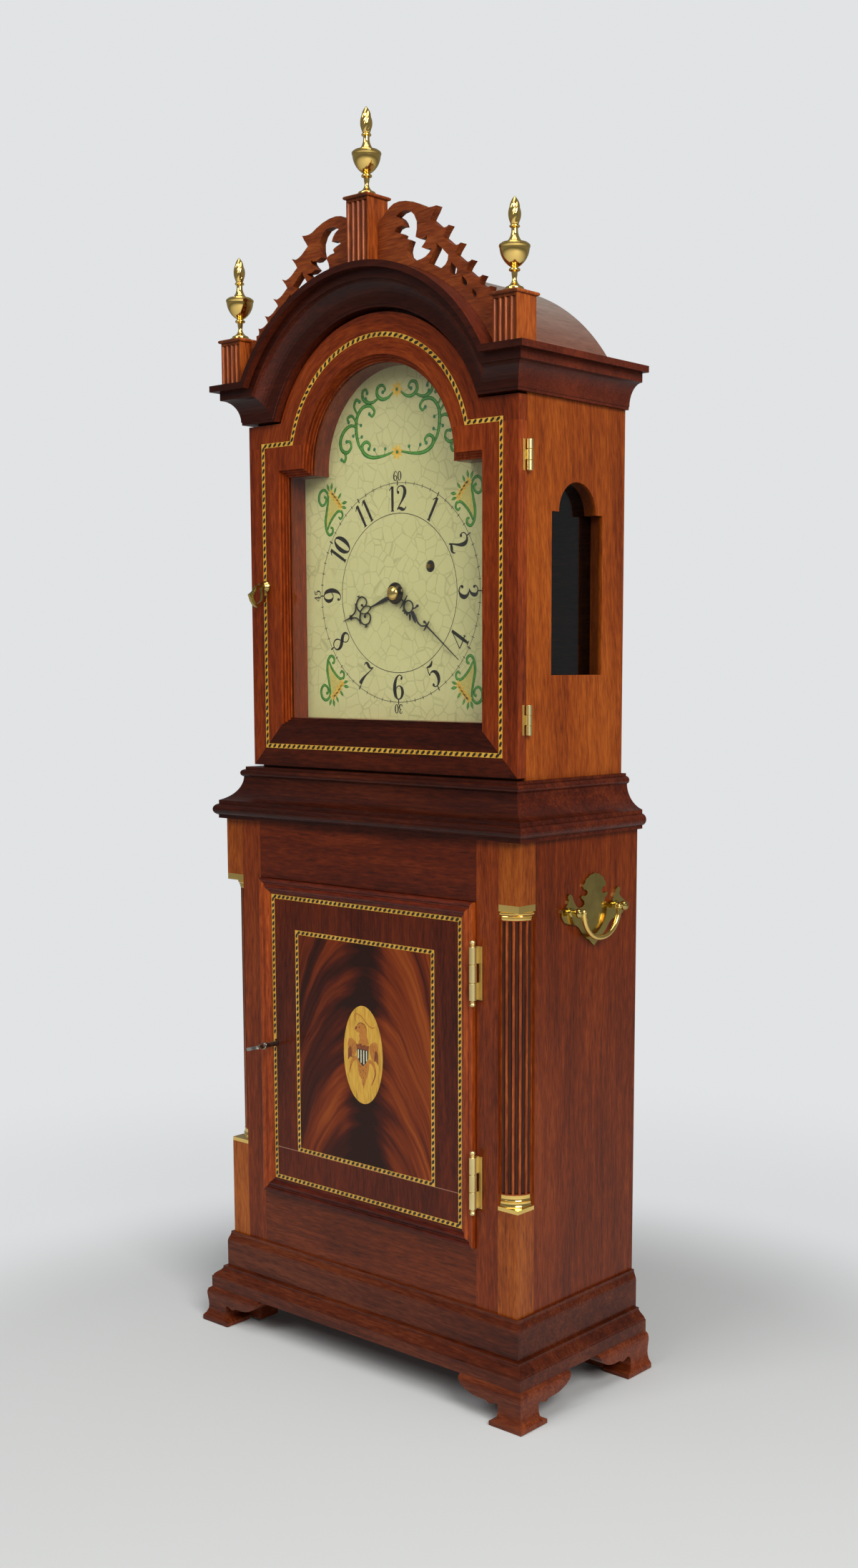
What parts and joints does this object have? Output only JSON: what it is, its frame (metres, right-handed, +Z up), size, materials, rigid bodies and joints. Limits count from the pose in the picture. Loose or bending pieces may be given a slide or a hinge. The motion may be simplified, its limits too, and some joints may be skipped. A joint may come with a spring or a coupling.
{
  "type": "shelf clock",
  "caption": "Weight-driven shelf clock: square case on ogee bracket feet with inlaid door, arched glazed hood, crown moulding, pierced fret and flame finials.",
  "frame": {"origin": "floor level, at the middle of the box that just holds the clock, under the lower case", "axes": "+Z up, +X to the right of someone who faces the dial, +Y from the dial to the back"},
  "size_m": [0.3524, 0.1768, 0.9634],
  "materials": {
    "mahogany": "polished",
    "mahogany_light": "polished",
    "mahogany_dark": "polished",
    "roof_wood": "satin",
    "inside_wood": "matt",
    "inlay": "polished",
    "brass": "polished",
    "steel": "polished",
    "hand_black": "satin",
    "dial_paint": "satin",
    "glass": "polished",
    "iron": "matt"
  },
  "bodies": {
    "case": {"foot_front_left": "mahogany", "foot_front_right": "mahogany", "foot_rear_left": "mahogany", "foot_rear_right": "mahogany", "base_moulding": "mahogany", "base_band": "mahogany", "floor_board": "inside_wood", "case_side_left": "mahogany", "case_side_right": "mahogany", "case_back": "inside_wood", "stile_left": "mahogany", "stile_right": "mahogany", "rail_top": "mahogany", "rail_foot": "mahogany", "corner_blocks_left": "mahogany_light", "corner_blocks_right": "mahogany_light", "column_left": "mahogany", "column_right": "mahogany", "column_brasses": "brass", "waist_moulding": "mahogany", "hood_side_left": "mahogany_light", "hood_side_right": "mahogany_light", "hood_back": "inside_wood", "hood_mask": "mahogany", "roof": "roof_wood", "crown_moulding": "mahogany_dark", "plinth_middle": "mahogany", "plinth_left": "mahogany", "plinth_right": "mahogany", "fret_left": "mahogany", "fret_right": "mahogany", "finial_middle": "brass", "finial_left": "brass", "finial_right": "brass", "side_panes": "glass", "dial": "dial_paint", "handle_left": "brass", "handle_right": "brass", "case_hinges": "brass", "movement_frame": "brass"},
    "lower_door": {"lower_door": "mahogany", "lower_door_inlay": "inlay", "lower_door_hinges": "brass"},
    "lower_key": {"lower_key": "steel"},
    "hood_door": {"hood_door": "mahogany", "hood_pane": "glass", "hood_door_inlay": "inlay", "hood_door_hinges": "brass"},
    "hood_key": {"hood_key": "brass"},
    "bail_left": {"bail_left": "brass"},
    "bail_right": {"bail_right": "brass"},
    "minute_works": {"minute_hand": "hand_black", "centre_wheel": "brass"},
    "hour_hand": {"hour_hand": "hand_black"},
    "great_wheel": {"great_wheel": "brass"},
    "third_wheel": {"third_wheel": "brass"},
    "escape_wheel": {"escape_wheel": "brass"},
    "pendulum": {"pendulum": "brass", "anchor": "steel"},
    "weight": {"weight": "iron"}
  },
  "joints": [
    {"name": "lower_door_hinge", "type": "hinge", "parent": "case", "child": "lower_door", "pos_m": [0.1173, -0.0622, 0.255], "axis": [0, 0, 1], "range_deg": [0, 110]},
    {"name": "lower_key_turn", "type": "hinge", "parent": "lower_door", "child": "lower_key", "pos_m": [-0.0985, -0.0566, 0.25], "axis": [0, 1, 0], "range_deg": [0, 90]},
    {"name": "hood_door_hinge", "type": "hinge", "parent": "case", "child": "hood_door", "pos_m": [0.1427, -0.02945, 0.612], "axis": [0, 0, 1], "range_deg": [0, 110]},
    {"name": "hood_key_turn", "type": "hinge", "parent": "hood_door", "child": "hood_key", "pos_m": [-0.1225, -0.0391, 0.6198], "axis": [0, 1, 0], "range_deg": [0, 90]},
    {"name": "bail_left_swing", "type": "hinge", "parent": "case", "child": "bail_left", "pos_m": [-0.1646, 0.0314, 0.3755], "axis": [0, 1, 0], "range_deg": [-10, 110]},
    {"name": "bail_right_swing", "type": "hinge", "parent": "case", "child": "bail_right", "pos_m": [0.1646, 0.0314, 0.3755], "axis": [0, -1, 0], "range_deg": [-10, 110]},
    {"name": "minute_turn", "type": "hinge", "parent": "case", "child": "minute_works", "pos_m": [0, -0.0136, 0.6122], "axis": [0, 1, 0], "continuous": true},
    {"name": "hour_turn", "type": "hinge", "parent": "case", "child": "hour_hand", "pos_m": [0, -0.0136, 0.6122], "axis": [0, 1, 0], "continuous": true},
    {"name": "great_turn", "type": "hinge", "parent": "case", "child": "great_wheel", "pos_m": [0.0336, 0.0134, 0.6318], "axis": [0, 1, 0], "continuous": true},
    {"name": "third_turn", "type": "hinge", "parent": "case", "child": "third_wheel", "pos_m": [-0.016, 0.0134, 0.6301], "axis": [0, 1, 0], "continuous": true},
    {"name": "escape_turn", "type": "hinge", "parent": "case", "child": "escape_wheel", "pos_m": [-0.004, 0.0134, 0.64405], "axis": [0, 1, 0], "continuous": true},
    {"name": "pendulum_swing", "type": "hinge", "parent": "case", "child": "pendulum", "pos_m": [0, 0.0134, 0.66345], "axis": [0, 1, 0], "range_deg": [-3, 3]},
    {"name": "weight_drop", "type": "slide", "parent": "case", "child": "weight", "axis": [0, 0, -1], "range_m": [0, 0.3]}
  ],
  "couplings": [
    {"joint": "hour_turn", "follows": "minute_turn", "ratio": 0.083333},
    {"joint": "great_turn", "follows": "minute_turn", "ratio": -0.083333},
    {"joint": "third_turn", "follows": "minute_turn", "ratio": -9},
    {"joint": "escape_turn", "follows": "minute_turn", "ratio": 94.5}
  ]
}
